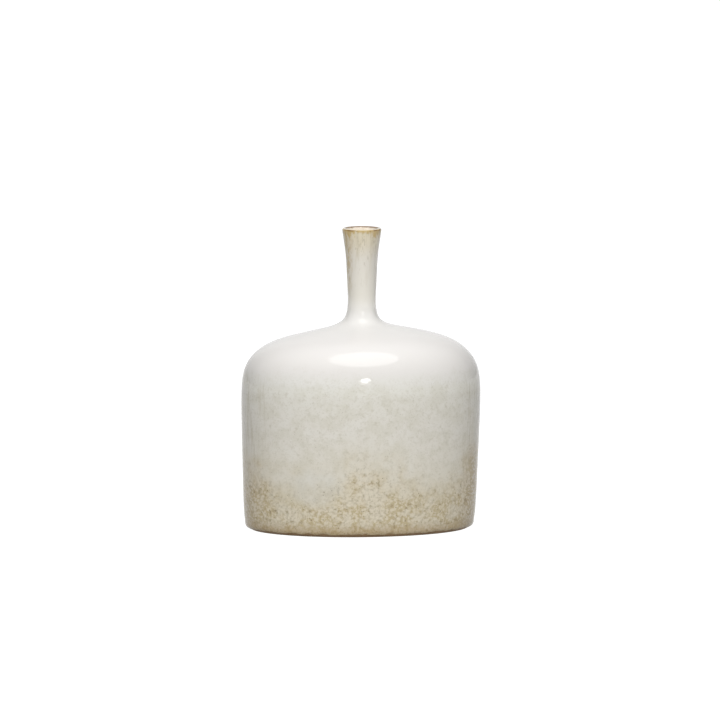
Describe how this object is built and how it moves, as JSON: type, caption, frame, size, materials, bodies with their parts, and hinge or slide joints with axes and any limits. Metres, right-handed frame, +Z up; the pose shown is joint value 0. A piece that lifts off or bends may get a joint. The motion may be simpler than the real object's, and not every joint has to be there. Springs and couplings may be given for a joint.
{
  "type": "flattened bottle vase",
  "caption": "Wide flattened-oval stoneware bottle vase with a rounded shoulder, a slim flared neck and a mottled cream glaze.",
  "frame": {"origin": "on the surface that the foot stands on, under the centre of the widest oval section", "axes": "+Z up along the neck; X along the long side of the oval, with the slight lean and the higher shoulder towards +X; Y across the thin side"},
  "size_m": [0.2429, 0.1502, 0.305],
  "materials": {
    "stoneware_clay": "bare high-fired stoneware, matt and slightly gritty, toasted brown at the foot",
    "outer_glaze": "satin cream-white glaze, thin and tan at the lip, mottled olive and tan towards the foot, with fine specks",
    "liner_glaze": "the same glaze as a thin liner, warmer and glossier"
  },
  "bodies": {
    "root": {"base_slab": "stoneware_clay", "body_wall": "stoneware_clay", "shoulder": "stoneware_clay", "neck": "stoneware_clay", "outer_glaze": "outer_glaze", "inner_glaze": "liner_glaze"}
  },
  "joints": []
}
